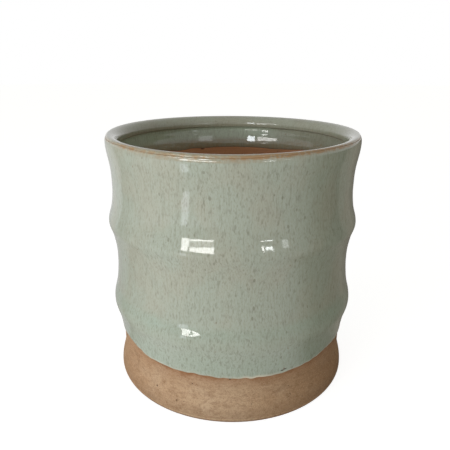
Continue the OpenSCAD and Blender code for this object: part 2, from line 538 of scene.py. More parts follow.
class NodeSheet:
    """The nodes of one material or world, with short ways to add what the finishes share."""

    def __init__(self, owner: bpy.types.Material | bpy.types.World) -> None:
        """Takes the material or world whose nodes these are.

        Args:
            owner: The material or world.
        """
        owner.use_nodes = True
        self.owner = owner
        self.nodes = owner.node_tree.nodes
        self.links = owner.node_tree.links

    def feed(self, node: bpy.types.Node, inputs: Inputs) -> None:
        """Gives a node's inputs links or fixed values.

        Args:
            node: The node.
            inputs: For each input's name or place, an output to link, a number or a colour.
        """
        for key, value in inputs.items():
            socket = node.inputs[key]
            if isinstance(value, bpy.types.NodeSocket):
                self.links.new(value, socket)
            elif isinstance(value, tuple) and len(socket.default_value) == 4:
                socket.default_value = (*value, 1.0)
            else:
                socket.default_value = value

    def add(self, kind: str, inputs: Inputs, **settings: str) -> bpy.types.Node:
        """Adds a node.

        Args:
            kind: The node's type, without the word that all types start with.
            inputs: What its inputs are given.
            **settings: The node's own settings.

        Returns:
            The node.
        """
        node = self.nodes.new("ShaderNode" + kind)
        for name, value in settings.items():
            setattr(node, name, value)
        self.feed(node, inputs)
        return node

    def calc(self, operation: str, *values: Socket | float) -> Socket:
        """The result of one sum, named as the maths node names it."""
        return self.add("Math", dict(enumerate(values)), operation=operation).outputs[0]

    def step(self, value: Socket, low: float, high: float, first: float = 0, last: float = 1) -> Socket:
        """A smooth step of a value between low and high, from the first result to the last."""
        limits = {"Value": value, "From Min": low, "From Max": high, "To Min": first, "To Max": last}
        return self.add("MapRange", limits, interpolation_type="SMOOTHSTEP").outputs["Result"]

    def blend(self, amount: Socket | float, first: Socket | Colour, second: Socket | Colour) -> Socket:
        """A mix of two colours: the first where amount is 0 and the second where it is 1."""
        return self.add("Mix", {"Factor": amount, 6: first, 7: second}, data_type="RGBA").outputs[2]

    def layered(self, base: Colour, layers: tuple[tuple[Socket, float, Colour], ...]) -> Socket:
        """Lays colours over each other.

        Args:
            base: The lowest colour.
            layers: Where each further one lies, how strong it is there at most, and its colour.

        Returns:
            The mixed colour.
        """
        for amount, strength, colour in layers:
            base = self.blend(self.calc("MULTIPLY", amount, strength), base, colour)
        return base

    def place(self) -> Socket:
        """The place on the object."""
        return self.add("TexCoord", {}).outputs["Object"]

    def scaled(self, vector: Socket, across: float, along: float) -> Socket:
        """A place, scaled so that a pattern's unit is this wide and this tall."""
        scale = (1 / across, 1 / across, 1 / along)
        return self.add("VectorMath", {0: vector, 1: scale}, operation="MULTIPLY").outputs[0]

    def noise(self, noise: Noise) -> Socket:
        """A cloudy pattern.

        Args:
            noise: The pattern.

        Returns:
            Its value, from 0 to 1.
        """
        vector = self.scaled(self.place(), noise.across, noise.along)
        fine = {"Detail": noise.detail, "Roughness": noise.roughness}
        return self.add("TexNoise", {"Vector": vector, "Scale": 1.0, **fine}).outputs["Fac"]

    def spots(self, spots: Spots) -> Socket:
        """Scattered spots.

        Args:
            spots: Their pattern.

        Returns:
            1 in a spot and 0 between them.
        """
        vector = self.scaled(self.place(), spots.across, spots.along)
        cells = self.add("TexVoronoi", {"Vector": vector, "Scale": 1.0})
        parts = self.add("SeparateColor", {0: cells.outputs["Color"]})
        held = self.step(parts.outputs[0], 1 - spots.share - 0.05, 1 - spots.share + 0.05)
        wide = self.calc("MULTIPLY_ADD", parts.outputs[1], spots.size * 0.9, spots.size * 0.55)
        inside = self.calc("SUBTRACT", wide, cells.outputs["Distance"])
        return self.calc("MULTIPLY", held, self.step(inside, 0.0, spots.soft))

    def fault(self, fault: Fault) -> Socket:
        """One small fault on the wall.

        Args:
            fault: The fault.

        Returns:
            1 in it and 0 round it.
        """
        away = self.add("VectorMath", {0: self.place(), 1: fault.place}, operation="SUBTRACT").outputs[0]
        scaled = self.scaled(away, fault.width, fault.height)
        length = self.add("VectorMath", {0: scaled}, operation="LENGTH").outputs["Value"]
        return self.step(length, 1.0, 0.4)

    def painted(self, layer: str) -> Socket:
        """The value painted on the mesh under that name."""
        return self.add("Attribute", {}, attribute_name=layer).outputs["Fac"]

    def relief(self, height: Socket, depth: float, **before: Socket) -> Socket:
        """The normal bent by fine relief, so deep for a height from 0 to 1, over a Normal before it."""
        return self.add("Bump", {"Strength": 1.0, "Distance": depth, "Height": height, **before}).outputs[0]

    def seen(self) -> Socket:
        """Tells the rays that see from those that gather light.

        Returns:
            1 on a ray from the camera, a mirror or clear stuff, and 0 on any other.
        """
        ray = self.add("LightPath", {}).outputs
        seen = self.calc("MAXIMUM", ray["Is Camera Ray"], ray["Is Glossy Ray"])
        return self.calc("MAXIMUM", seen, ray["Is Transmission Ray"])

    def surface(self, inputs: Inputs) -> bpy.types.Material:
        """The material, once its principled surface has been given these inputs."""
        self.feed(self.nodes["Principled BSDF"], inputs)
        return self.owner

    def shown(self, amount: Socket, first: Socket, second: Socket) -> bpy.types.Material:
        """Puts a mix of two plain shaders in place of the principled surface.

        Args:
            amount: How much of the second shows.
            first: The first shader.
            second: The second.

        Returns:
            The material.
        """
        mix = self.add("MixShader", {0: amount, 1: first, 2: second})
        self.feed(self.nodes["Material Output"], {"Surface": mix.outputs[0]})
        self.nodes.remove(self.nodes["Principled BSDF"])
        return self.owner


@dataclass(frozen=True)
class GlazeFinish:
    """A glossy, speckled grey-green glaze that breaks to tan where it is thin."""

    name: str
    body: Colour = srgb(170, 177, 161)
    warm: Colour = srgb(172, 174, 157)
    pooled: Colour = srgb(163, 178, 161)
    speck: Colour = srgb(116, 114, 92)
    rust: Colour = srgb(132, 104, 78)
    tan: Colour = srgb(164, 131, 90)
    cream: Colour = srgb(212, 206, 184)
    crack: Colour = srgb(74, 60, 44)
    cracks: tuple[Fault, ...] = ()
    clouds: Noise = Noise(0.030, 0.045, 3)
    streaks: Noise = Noise(0.0018, 0.014, 3, 0.6)
    grain: Noise = Noise(0.0008, 0.0026, 2, 0.6)
    flecks: Noise = Noise(0.0019, 0.0052, 1)
    faint: Spots = Spots(0.0032, 0.0078, share=0.90, size=0.26, soft=0.2)
    strong: Spots = Spots(0.0070, 0.0130, share=0.60, size=0.13, soft=0.06)
    rusty: Spots = Spots(0.0110, 0.0150, share=0.60, size=0.08, soft=0.04)
    blotches: Noise = Noise(0.0045, 0.0030, 2)
    waves: Noise = Noise(0.011, 0.016, 1)
    wave_depth: float = 0.00010
    skin: Noise = Noise(0.0021, 0.0030, 1)
    skin_depth: float = 0.000012
    roughness: float = 0.05

    def material(self) -> bpy.types.Material:
        """Builds the glaze's nodes.

        Returns:
            The material.
        """
        sheet = NodeSheet(bpy.data.materials.new(self.name))
        clouds = sheet.noise(self.clouds)
        # The pooled layer: a greener pooled tint outside; on the inside coat it is mostly painted light under
        # the lip.
        pool = sheet.calc("ADD", sheet.painted("pool"), sheet.calc("MULTIPLY_ADD", clouds, 0.9, -0.45))
        flecked = sheet.calc("MULTIPLY_ADD", sheet.painted("flecked"), 0.6, 0.4)
        flecks = sheet.step(sheet.noise(self.flecks), 0.56, 0.70)
        blotches = sheet.step(sheet.noise(self.blotches), 0.34, 0.62, 0.45, 1.25)
        colour = sheet.layered(self.body, (
            (sheet.step(clouds, 0.40, 0.66), 1.0, self.warm),
            (sheet.step(pool, 0.25, 1.1), 1.0, self.pooled),
            (sheet.step(sheet.noise(self.streaks), 0.42, 0.80), 0.30, self.speck),
            (sheet.step(sheet.noise(self.grain), 0.46, 0.72), 0.26, self.speck),
            (sheet.calc("MULTIPLY", flecks, flecked), 0.30, self.speck),
            (sheet.calc("MULTIPLY", sheet.spots(self.faint), flecked), 0.36, self.speck),
            (sheet.calc("MULTIPLY", sheet.spots(self.strong), flecked), 0.60, self.speck),
            (sheet.spots(self.rusty), 0.50, self.rust),
            (sheet.painted("edge"), 0.80, self.cream),
            (sheet.calc("MULTIPLY", sheet.painted("thin"), blotches), 1.0, self.tan),
            *((sheet.fault(crack), 0.90, self.crack) for crack in self.cracks),
        ))
        waves = sheet.relief(sheet.noise(self.waves), self.wave_depth)
        skin = sheet.relief(sheet.noise(self.skin), self.skin_depth, Normal=waves)
        return sheet.surface({"Base Color": colour, "Roughness": self.roughness, "IOR": 1.5, "Normal": skin})


@dataclass(frozen=True)
class StonewareFinish:
    """Bare fired stoneware: matt, sandy and mottled, redder beside the glaze, and painted brighter and more
    orange inside the pot: painted bounce light.
    """

    name: str = "bare_stoneware"
    body: Colour = srgb(186, 153, 119)
    pale: Colour = srgb(206, 181, 151)
    dark: Colour = srgb(138, 104, 74)
    flash: Colour = srgb(146, 104, 72)
    # Painted bounce light: the clay inside the pot, brighter and more orange than the clay itself.
    inside: Colour = srgb(214, 156, 114)
    deep: Colour = srgb(150, 106, 70)
    soot: Colour = srgb(96, 62, 40)
    speck: Colour = srgb(66, 42, 28)
    # Dark at the foot's edge: partly wear, partly painted contact shadow.
    foot_edge: Colour = srgb(104, 76, 52)
    irons: tuple[Fault, ...] = (
        Fault(-36.5, 0.0205, 0.1204, 0.0015, 0.0011),
        Fault(-24.8, 0.0150, 0.1217, 0.0008, 0.0014),
        Fault(28.0, 0.0210, 0.1204, 0.0009, 0.0022),
    )
    patches: Noise = Noise(0.028, 0.018, 3)
    stains: Noise = Noise(0.011, 0.008, 4, 0.62)
    mottle: Noise = Noise(0.0034, 0.0026, 3, 0.6)
    sand: Noise = Noise(0.0011, 0.0010, 3, 0.7)
    lines: Noise = Noise(0.030, 0.0016, 2)
    scorches: Spots = Spots(0.0160, 0.0080, share=0.60, size=0.20, soft=0.10)
    pits: Spots = Spots(0.0070, 0.0060, share=0.30, size=0.10, soft=0.04)
    sand_depth: float = 0.00022
    line_depth: float = 0.00025
    pit_depth: float = 0.0004

    def material(self) -> bpy.types.Material:
        """Builds the stoneware's nodes.

        Returns:
            The material.
        """
        sheet = NodeSheet(bpy.data.materials.new(self.name))
        stains = sheet.noise(self.stains)
        sand = sheet.noise(self.sand)
        lines = sheet.noise(self.lines)
        pits = sheet.spots(self.pits)
        inner = sheet.painted("inner")
        flash = sheet.calc("MULTIPLY", sheet.painted("flash"), sheet.step(stains, 0.30, 0.60, 0.55, 1.0))
        colour = sheet.layered(self.body, (
            (sheet.step(sheet.noise(self.patches), 0.46, 0.72), 0.45, self.pale),
            # Paler at some bearings, and redder and darker at others, round the pot.
            (sheet.painted("paler_by_bearing"), 0.55, self.pale),
            (sheet.painted("darker_by_bearing"), 0.55, self.deep),
            (sheet.step(stains, 0.50, 0.68), 0.42, self.dark),
            (sheet.step(sheet.noise(self.mottle), 0.44, 0.70), 0.42, self.dark),
            (sheet.step(sand, 0.50, 0.70), 0.60, self.dark),
            (sheet.step(sand, 0.48, 0.30), 0.50, self.pale),
            (sheet.step(lines, 0.52, 0.78), 0.28, self.dark),
            # Painted bounce light on the clay inside the pot.
            (inner, 0.85, self.inside),
            (flash, 0.90, self.flash),
            # The foot's edge: partly wear, partly painted contact shadow.
            (sheet.painted("worn"), 0.85, self.foot_edge),
            (sheet.calc("MULTIPLY", inner, sheet.spots(self.scorches)), 0.75, self.soot),
            (pits, 0.75, self.speck),
            *((sheet.fault(iron), 0.80, self.speck) for iron in self.irons),
        ))
        grit = sheet.relief(sand, self.sand_depth)
        grooves = sheet.relief(lines, self.line_depth, Normal=grit)
        holes = sheet.relief(sheet.calc("SUBTRACT", 1.0, pits), self.pit_depth, Normal=grooves)
        matt = {"Roughness": sheet.step(sand, 0.3, 0.7, 0.78, 0.95), "Specular IOR Level": 0.3}
        return sheet.surface({"Base Color": colour, "Normal": holes, **matt})


@dataclass(frozen=True)
class RubberFinish:
    """Dark moulded rubber with a faint bloom."""

    name: str = "stopper_rubber"
    body: Colour = srgb(46, 45, 43)
    bloom: Colour = srgb(84, 82, 78)
    haze: Noise = Noise(0.006, 0.006, 4, 0.6)
    grain: Noise = Noise(0.0005, 0.0005, 2)
    grain_depth: float = 0.00004
    dust: Spots = Spots(0.0022, 0.0022, share=0.30, size=0.10, soft=0.05)

    def material(self) -> bpy.types.Material:
        """Builds the rubber's nodes.

        Returns:
            The material.
        """
        sheet = NodeSheet(bpy.data.materials.new(self.name))
        haze = sheet.noise(self.haze)
        colour = sheet.layered(self.body, (
            (sheet.step(haze, 0.4, 0.8), 0.5, self.bloom),
            (sheet.spots(self.dust), 0.4, self.bloom),
        ))
        grain = sheet.relief(sheet.noise(self.grain), self.grain_depth)
        return sheet.surface({
            "Base Color": colour, "Roughness": sheet.step(haze, 0.3, 0.8, 0.5, 0.72), "Normal": grain,
        })


def dress(piece: bpy.types.Object, material: bpy.types.Material, node: str, body: str) -> None:
    """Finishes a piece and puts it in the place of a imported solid.

    Args:
        piece: The piece.
        material: Its finish.
        node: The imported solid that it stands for.
        body: The body that it moves with.
    """
    piece.data.materials.append(material)
    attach(piece, body)
    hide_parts(node)
    log.info("%s: %d points, replaces %s", piece.name, len(piece.data.vertices), node)


@dataclass(frozen=True)
class Turning:
    """How finely the turned pieces are divided."""

    turns: int = 480
    row: float = 0.002
    fine_row: float = 0.0012
    hidden_row: float = 0.006

    @property
    def angles(self) -> Array:
        """The angles that every outline is turned through."""
        return np.linspace(0, math.tau, self.turns, endpoint=False)

    def rows(self, low: float, high: float, step: float | None = None) -> Array:
        """Evenly spaced heights from one height to another, both ends included."""
        count = max(2, round(abs(high - low) / (step or self.row)) + 1)
        return np.linspace(low, high, count)


@dataclass(frozen=True)
class CoatEdge:
    """How a coat of glaze rounds off at its edge: over its lower line, and over the line at the lip."""

    rounding: float = 0.0018
    lip_rounding: float = 0.0012
    bead: float = 0.00018
    bead_place: float = 0.0032
    bead_width: float = 0.0022
    rows: int = 12
    reach: float = 0.008

    def distances(self) -> Array:
        """Distances from the edge at which the outline has points, closer together at the edge."""
        return self.reach * (np.arange(self.rows + 1) / self.rows) ** 2.2

    def thickness(self, distance: Array, coat: float) -> Array:
        """Thickness at a distance from the lower line, where the full coat is so thick."""
        bead = self.bead * np.exp(-((distance - self.bead_place) / self.bead_width) ** 2)
        return coat * rounded(distance, self.rounding) + bead * np.clip(distance / self.rounding, 0, 1)


@dataclass(frozen=True)
class Planter:
    """The whole pot: its shape, its glaze lines and how finely its pieces are turned."""

    shape: PotShape
    turning: Turning = Turning()
    edge: CoatEdge = CoatEdge()
    break_line: BreakLine = BreakLine()
    outer_line: GlazeLine = GlazeLine(
        height=0.0467,
        sag=0.0032,
        ripple=Unevenness(size=0.00026, seed=5, rounds=(8, 84), waves=30),
        drips=(
            Drip(-57, 11, 0.0042), Drip(-34, 6, 0.0006), Drip(-14, 9, 0.0015), Drip(20, 9, -0.0006),
            Drip(52, 12, 0.0026), Drip(105, 14, 0.0030), Drip(160, 9, -0.0020), Drip(-120, 12, 0.0025),
        ),
    )
    inner_line: GlazeLine = GlazeLine(
        height=0.216,
        sag=0.0,
        ripple=Unevenness(size=0.0004, seed=8, rounds=(2, 24), waves=18),
        drips=(Drip(128, 14, 0.0035), Drip(-150, 9, -0.0010)),
    )

    def section(self, *layers: str) -> Section:
        """An empty outline that is turned through the pot's angles."""
        return Section(self.turning.angles, layers)


@dataclass(frozen=True)
class ClayBody:
    """The fired clay: foot, wall, lip, inside, floor, drain hole and the hollow under the floor.

    It is painted paler at some bearings and redder and darker at others, most at the right, and it flashed
    beside the glaze.
    At the foot's edge it is painted dark, partly wear and partly painted contact shadow, and it is painted
    faintly darker up to a little above it.
    """

    pot: Planter
    paler_by_bearing: tuple[Drip, ...] = (Drip(-10, 24, 0.70), Drip(3, 9, 0.35), Drip(-170, 30, 0.5))
    darker_by_bearing: tuple[Drip, ...] = (Drip(62, 34, 1.0), Drip(-62, 22, 0.45), Drip(140, 20, 0.4))
    flashed: tuple[Drip, ...] = (Drip(-62, 20, -0.7), Drip(-24, 16, 0.45))
    flash_fade: float = 0.0066
    wear_and_shade_reach: tuple[float, float] = (0.0008, 0.0042)
    high_wear_and_shade_reach: tuple[float, float] = (0.0008, 0.0060)
    faint_darkening_reach: tuple[float, float] = (0.006, 0.020)
    faint: float = 0.30
    seen_top: float = 0.056
    seen_row: float = 0.001
    drain_edge: float = 0.0012
    ring_edge: float = 0.002
    flat_row: float = 0.003

    def outside(self, section: Section) -> None:
        """Draws the foot and the outside of the wall, up to the lip's top.

        Args:
            section: The outline to add to.
        """
        shape, turning, angles = self.pot.shape, self.pot.turning, section.angles
        tones = {"paler_by_bearing": summed(self.paler_by_bearing, angles), "darker_by_bearing": summed(self.darker_by_bearing, angles)}
        foot = (shape.foot_base_radius, shape.foot.height, shape.foot_rounding, shape.foot.height)
        radius, z = oval(*foot, quarters(-1, 0, 9))
        section.add(radius, z, worn=1 - rise(z, *self.wear_and_shade_reach), **tones)

        line = self.pot.outer_line.at(angles)
        z = turning.rows(shape.foot.height + self.seen_row, self.seen_top, self.seen_row)[None, :]
        flash = np.exp(-np.clip(line - z, 0, 1) / self.flash_fade) * (1 + summed(self.flashed, angles))
        # Dark at the foot's edge, partly wear and partly painted contact shadow, and faintly darker a little
        # higher.
        faint = self.faint * (1 - rise(z, *self.faint_darkening_reach))
        worn = 1 - rise(z, *self.high_wear_and_shade_reach) * (1 - faint)
        section.add(shape.outside(z), z, flash=flash, worn=worn, **tones)
        z = turning.rows(self.seen_top + 0.002, shape.shoulder_z, turning.hidden_row)
        section.add(shape.outside(z), z)
        section.add(*shape.shoulder(np.linspace(0.1, math.pi / 2, 14)), flash=1.0)

    def inside(self, section: Section) -> None:
        """Draws the lip's roll and the inside of the wall, down to the floor.

        Args:
            section: The outline to add to.
        """
        shape, turning, top = self.pot.shape, self.pot.turning, self.pot.inner_line.height
        section.add(*shape.roll(np.linspace(0.15, math.pi / 2, 10)))
        section.add(*shape.undercut(np.linspace(0, 1, 8)))
        z = turning.rows(shape.height - 0.017, top + 0.004, turning.hidden_row)
        section.add(shape.inside(z), z)
        z = turning.rows(top + 0.003, shape.floor_z + shape.floor_corner)
        # inner=1.0: the inside clay, which gets the painted bounce light.
        section.add(shape.inside(z), z, inner=1.0)
        z = shape.floor_z + shape.floor_corner * (1 - np.sin(quarters(0, 1, 10)[1:]))
        section.add(shape.inside(z), z, inner=1.0)

    def floor(self, section: Section) -> None:
        """Draws the floor, the drain hole and the underside.

        Args:
            section: The outline to add to.
        """
        shape, rows, edge, ring = self.pot.shape, self.pot.turning.rows, self.drain_edge, self.ring_edge
        corner = shape.inside(np.array([shape.floor_z]))[0]
        hole = shape.drain_radius + edge
        recess = shape.foot_base_radius - shape.foot_ring_width
        # The floor inside and the drain hole's upper edge get the painted bounce light too.
        section.add(rows(corner - 0.002, hole, self.flat_row), shape.floor_z, inner=1.0)
        section.add(*oval(hole, shape.floor_z - edge, edge, edge, quarters(1, 2, 5)), inner=1.0)
        section.add(*oval(hole, shape.foot_recess + edge, edge, edge, quarters(-2, -1, 5)))
        section.add(rows(hole + edge, recess - 2 * ring, 2 * ring), shape.foot_recess)
        section.add(*oval(recess - ring, shape.foot_recess - ring, ring, ring, quarters(1, 0, 6)))
        # The underside is painted darker too.
        section.add(*oval(recess + ring, ring, ring, ring, quarters(2, 3, 6)), worn=0.5)
        section.add(rows(recess + 2 * ring, shape.foot_base_radius - 0.001, self.flat_row), 0.0, worn=0.7)

    def build(self, finish: StonewareFinish) -> None:
        """Turns and finishes the clay.

        Args:
            finish: The stoneware's finish.
        """
        section = self.pot.section("flash", "inner", "worn", "paler_by_bearing", "darker_by_bearing")
        self.outside(section)
        self.inside(section)
        self.floor(section)
        piece = section.turn("stoneware_pot", self.pot.shape.throwing)
        dress(piece, finish.material(), "clay_body", "pot")


@dataclass(frozen=True)
class OuterGlaze:
    """The coat of glaze outside, from its line above the foot to the lip's shoulder.

    It is creamy at its lower edge, most at the drip. It is flecked less on the high left and on the right,
    where it ran thicker, and it has pooled low down and above the rings.
    """

    pot: Planter
    settle: float = 0.03
    cream: float = 0.3
    cream_reach: tuple[float, float] = (0.0008, 0.0040)
    creamy: Drip = Drip(11, 7, 1.1)
    left_calm: Drip = Drip(-58, 38, 0.75)
    left_calm_height: tuple[float, float] = (0.04, 0.14)
    right_calm: Drip = Drip(50, 28, 0.75)
    low_pool: float = 0.75
    low_pool_height: tuple[float, float] = (0.055, 0.13)
    ring_pool: float = 0.35
    ring_pool_rise: float = 0.012
    ring_pool_width: float = 0.008

    def flecking(self, angle: Array, z: Array) -> Array:
        """How strongly the glaze is flecked, from 0 to 1."""
        return 1 - self.left_calm.at(angle) * rise(z, *self.left_calm_height) - self.right_calm.at(angle)

    def pooling(self, z: Array) -> Array:
        """How much the glaze has run together.

        Args:
            z: Height above the foot.

        Returns:
            0 where it is even and 1 where it is deepest.
        """
        pool = self.low_pool * (1 - rise(z, *self.low_pool_height))
        for ring in (self.pot.shape.lower_ring, self.pot.shape.upper_ring):
            above = (z - ring.height - self.ring_pool_rise) / self.ring_pool_width
            pool = pool + self.ring_pool * np.exp(-above ** 2)
        return pool

    def build(self, finish: GlazeFinish) -> None:
        """Turns and finishes the coat.

        Args:
            finish: The glaze's finish.
        """
        pot, shape, edge, turning = self.pot, self.pot.shape, self.pot.edge, self.pot.turning
        section = pot.section("thin", "pool", "edge", "flecked")
        angles = section.angles
        line = pot.outer_line.at(angles)
        mean = pot.outer_line.height

        near = edge.distances()[None, :]
        z = line + near
        cream = (self.cream + self.creamy.at(angles)) * (1 - rise(near, *self.cream_reach))
        radius = shape.outside(z) + edge.thickness(near, shape.coat)
        section.add(radius, z, pool=self.low_pool, edge=cream, flecked=1.0)
        base = mean + edge.reach
        even = turning.rows(base + turning.row, shape.shoulder_z, turning.fine_row)[None, :]
        z = even + (line - mean) * (1 - rise(even, base, base + self.settle))
        radius = shape.outside(z) + edge.thickness(z - line, shape.coat)
        section.add(radius, z, pool=self.pooling(z), flecked=self.flecking(angles, z))

        top = pot.break_line.at(angles, -1)
        up = top * np.linspace(0, 1, 20)[None, 1:] ** 0.7
        left = (top - up) * shape.shoulder_height
        thickness = shape.coat * rounded(left, edge.lip_rounding)
        section.add(*shape.shoulder(up, thickness), thin=pot.break_line.thin(angles, left))

        section.add(*shape.shoulder(top * np.linspace(1, 0, 6)[None, 1:]))
        even = turning.rows(shape.shoulder_z - 0.003, base + self.settle, turning.hidden_row)
        section.add(shape.outside(even), even)
        z = line + np.linspace(1, 0, 8)[None, :-1] * (edge.reach + self.settle - 0.002)
        section.add(shape.outside(z), z)
        piece = section.turn("outer_glaze_coat", shape.throwing)
        dress(piece, finish.material(), "outer_glaze", "pot")


@dataclass(frozen=True)
class InnerGlaze:
    """The coat of glaze over the lip and a little way down the inside.

    Under the lip's roll it is painted a lighter green, partly a pooled tint and partly painted light, fading
    down into the pot and held back at the far right as painted shade. It is thin near its lower edge.
    """

    pot: Planter
    # Where the painted light under the lip is held back: the far right of the inside, as painted shade.
    light_held_back_right: Drip = Drip(116, 34, 0.9)
    pool_height: tuple[float, float] = (0.2180, 0.2330)
    thin: float = 0.24
    thin_reach: tuple[float, float] = (0.002, 0.015)

    def build(self, finish: GlazeFinish) -> None:
        """Turns and finishes the coat.

        Args:
            finish: The glaze's finish.
        """
        pot, shape, edge, turning = self.pot, self.pot.shape, self.pot.edge, self.pot.turning
        section = pot.section("thin", "pool", "edge", "flecked")
        angles = section.angles
        line = pot.inner_line.at(angles)
        mean = pot.inner_line.height

        start = pot.break_line.at(angles, 1)
        up = start + (math.pi / 2 - start) * np.linspace(0, 1, 16)[None, :] ** 1.4
        left = (up - start) * shape.shoulder_height * 0.7
        thickness = shape.coat * rounded(left, edge.lip_rounding)
        section.add(*shape.shoulder(up, thickness), thin=pot.break_line.thin(angles, left))
        over = quarters(0, 1, 22)[None, 1:]
        thin = pot.break_line.thin(angles, left[:, -1:] + over * 0.010)
        section.add(*shape.roll(over, shape.coat), thin=thin)

        # How much painted light, with its pooled tint, the inside wall gets at each angle.
        deep = 1 - self.light_held_back_right.at(angles)
        radius, z = shape.undercut(np.linspace(0, 1, 12))
        section.add(radius - shape.coat, z, pool=deep * np.linspace(0.5, 1.0, 12))
        step_z = z[-1]
        base = mean + edge.reach
        even = turning.rows(step_z - turning.row, base + turning.row)[None, :]
        z = even + (line - mean) * (1 - rise(even, base, step_z))
        radius = shape.inside(z) - edge.thickness(z - line, shape.coat)
        thin = self.thin * (1 - rise(z - line, *self.thin_reach))
        # The painted light fades out lower down in the pot.
        section.add(radius, z, pool=deep * rise(z, *self.pool_height), thin=thin)
        near = edge.distances()[::-1][None, :]
        z = line + near
        section.add(shape.inside(z) - edge.thickness(near, shape.coat), z, thin=self.thin)

        z = line + np.linspace(0, 1, 8)[None, 1:] * (step_z - 0.001 - line)
        section.add(shape.inside(z), z)
        section.add(*shape.undercut(np.linspace(1, 0, 5)[1:]))
        section.add(*shape.roll(quarters(1, 0, 8)[1:]))
        section.add(*shape.shoulder(start + (math.pi / 2 - start) * np.linspace(1, 0, 8)[None, 1:-1]))
        piece = section.turn("inner_glaze_coat", shape.throwing)
        dress(piece, finish.material(), "inner_glaze", "pot")


@dataclass(frozen=True)
class DrainStopper:
    """The rubber stopper in the drain hole: a domed head with a finger dimple, and a ribbed stem."""

    low: Vector
    high: Vector
    seat_z: float
    hole_radius: float
    stem_gap: float = 0.0011
    ribs: int = 3
    rib_height: float = 0.0008
    nose: float = 0.0015
    head_edge: float = 0.0006
    head_side: float = 0.0014
    dimple_depth: float = 0.0011
    dimple_ridge: float = 0.0003
    axis: float = 0.0001
    turns: int = 160

    def build(self, finish: RubberFinish) -> None:
        """Turns and finishes the stopper.

        Args:
            finish: The rubber's finish.
        """
        section = Section(np.linspace(0, math.tau, self.turns, endpoint=False), ())
        stem, nose, head, edge = self.hole_radius - self.stem_gap, self.nose, self.high.x, self.head_edge
        section.add(np.linspace(self.axis, stem - nose, 5), self.low.z)
        section.add(*oval(stem - nose, self.low.z + nose, nose, nose, quarters(-0.8, 0, 5)))
        z = np.linspace(self.low.z + 2 * nose, self.seat_z - 0.0004, 60)
        pitch = (self.seat_z - self.low.z - 2 * nose) / self.ribs
        rib = np.abs(np.sin(math.pi * (z - z[0]) / pitch)) ** 0.8
        section.add(stem + self.rib_height * rib, z)
        section.add(np.linspace(stem + 0.001, head - 0.001, 6), self.seat_z)
        section.add(*oval(head - edge, self.seat_z + edge, edge, edge, quarters(-1, 0, 7)))

        radius = self.axis + (head - self.axis) * np.linspace(1, 0, 26) ** 0.8
        dome = np.sqrt(1 - (radius / (head + 0.0001)) ** 2)
        side_z = self.seat_z + self.head_side
        top = side_z + (self.high.z - side_z) * dome
        dimple = self.dimple_depth * (1 - rise(radius, 0.004, 0.0065))
        ridge = self.dimple_ridge * np.exp(-((radius - 0.0072) / 0.0008) ** 2)
        section.add(radius, top - dimple + ridge - self.dimple_ridge)
        dress(section.turn("rubber_stopper"), finish.material(), "drain_stopper", "stopper")


class Side(Enum):
    """Which side of the camera a window stands on."""

    LEFT = -1
    RIGHT = 1


class Role(Enum):
    """What a pane does: a window does both, the others only light the pot or only show in its gloss."""

    WINDOW = "window"
    SOFT = "soft"
    MIRRORED = "mirrored"


SUNNY: Colour = (1.0, 0.995, 0.975)
CLOUDY: Colour = (0.95, 0.99, 1.0)
SKY: Colour = (0.90, 0.96, 1.0)


@dataclass(frozen=True)
class Pane:
    """A soft pane of light facing the pot, so many degrees round from the camera seen from the pot."""

    name: str
    side: Side
    bearing: float
    low: float
    high: float
    width: float
    glow: float
    tint: Colour = SUNNY
    distance: float = 1.5
    role: Role = Role.WINDOW

    def light(self) -> None:
        """Adds the light."""
        data = bpy.data.lights.new(self.name, "AREA")
        data.shape = "RECTANGLE"
        data.size = self.width
        data.size_y = self.high - self.low
        data.energy = self.glow * math.pi * data.size * data.size_y
        data.color = self.tint
        lamp = bpy.data.objects.new(self.name, data)
        turn = FRONT + self.side.value * math.radians(self.bearing)
        middle = (self.low + self.high) / 2
        lamp.location = (self.distance * math.cos(turn), self.distance * math.sin(turn), middle)
        lamp.rotation_euler = (Vector((0, 0, middle)) - lamp.location).to_track_quat("-Z", "Y").to_euler()
        lamp.visible_camera = False
        lamp.visible_glossy = self.role is not Role.SOFT
        lamp.visible_diffuse = self.role is not Role.MIRRORED
        bpy.context.scene.collection.objects.link(lamp)


